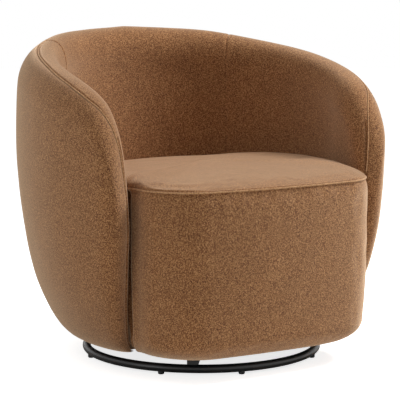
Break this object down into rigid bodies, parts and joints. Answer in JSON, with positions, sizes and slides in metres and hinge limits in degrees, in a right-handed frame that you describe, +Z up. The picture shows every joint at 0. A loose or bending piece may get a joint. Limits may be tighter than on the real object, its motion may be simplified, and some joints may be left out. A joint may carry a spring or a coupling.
{
  "type": "swivel accent chair",
  "caption": "Upholstered barrel chair with a wrap-round wall whose rolled crest falls to the arm fronts, a crowned tight seat, and a round black tube base on which it turns",
  "frame": {"origin": "on the floor, under the middle of the chair's plan", "axes": "+Z up, -Y towards the front of the seat, +X towards the sitter's left arm; the swivel axis is parallel to Z and stands in front of the origin"},
  "size_m": [0.8406, 0.7558, 0.737],
  "materials": {
    "black_steel": "satin black powder coat",
    "zinc_steel": "zinc plated",
    "spring_steel": "oiled dark wire",
    "nylon": "moulded black",
    "plywood": "raw",
    "hardboard": "raw",
    "foam": "open-cell foam",
    "camel_weave": "heathered woven upholstery",
    "black_cloth": "non-woven"
  },
  "bodies": {
    "base": {"base_ring": "black_steel", "cross_bar_long": "black_steel", "cross_bar_left": "black_steel", "cross_bar_right": "black_steel", "glide_1": "nylon", "glide_2": "nylon", "glide_3": "nylon", "glide_4": "nylon", "glide_5": "nylon", "glide_6": "nylon", "glide_7": "nylon", "glide_8": "nylon", "swivel_lower_plate": "zinc_steel", "ball_cage": "nylon", "swivel_pin": "zinc_steel", "lower_bolt_1": "zinc_steel", "lower_bolt_2": "zinc_steel", "lower_bolt_3": "zinc_steel", "lower_bolt_4": "zinc_steel"},
    "seat": {"swivel_upper_plate": "zinc_steel", "upper_bolt_1": "zinc_steel", "upper_bolt_2": "zinc_steel", "upper_bolt_3": "zinc_steel", "upper_bolt_4": "zinc_steel", "base_board": "plywood", "dust_cover": "black_cloth", "front_rail": "plywood", "side_rail_left": "plywood", "side_rail_right": "plywood", "rear_rail": "plywood", "spring_1": "spring_steel", "spring_2": "spring_steel", "spring_3": "spring_steel", "spring_4": "spring_steel", "spring_5": "spring_steel", "front_clip_strip": "zinc_steel", "rear_clip_strip": "zinc_steel", "deck_cloth": "black_cloth", "seat_foam": "foam", "seat_cover": "camel_weave", "seat_welt": "camel_weave", "front_foam": "foam", "front_cover": "camel_weave", "wall_foam": "foam", "inner_cover": "camel_weave", "outer_cover": "camel_weave", "wall_piping": "camel_weave", "back_rim": "plywood", "rib_1": "plywood", "rib_2": "plywood", "rib_3": "plywood", "rib_4": "plywood", "rib_5": "plywood", "front_post_left": "plywood", "front_post_right": "plywood", "inner_liner": "hardboard", "outer_liner": "hardboard"}
  },
  "joints": [
    {"name": "swivel", "type": "hinge", "parent": "base", "child": "seat", "pos_m": [0, -0.04235, 0.041], "axis": [0, 0, 1], "continuous": true}
  ]
}
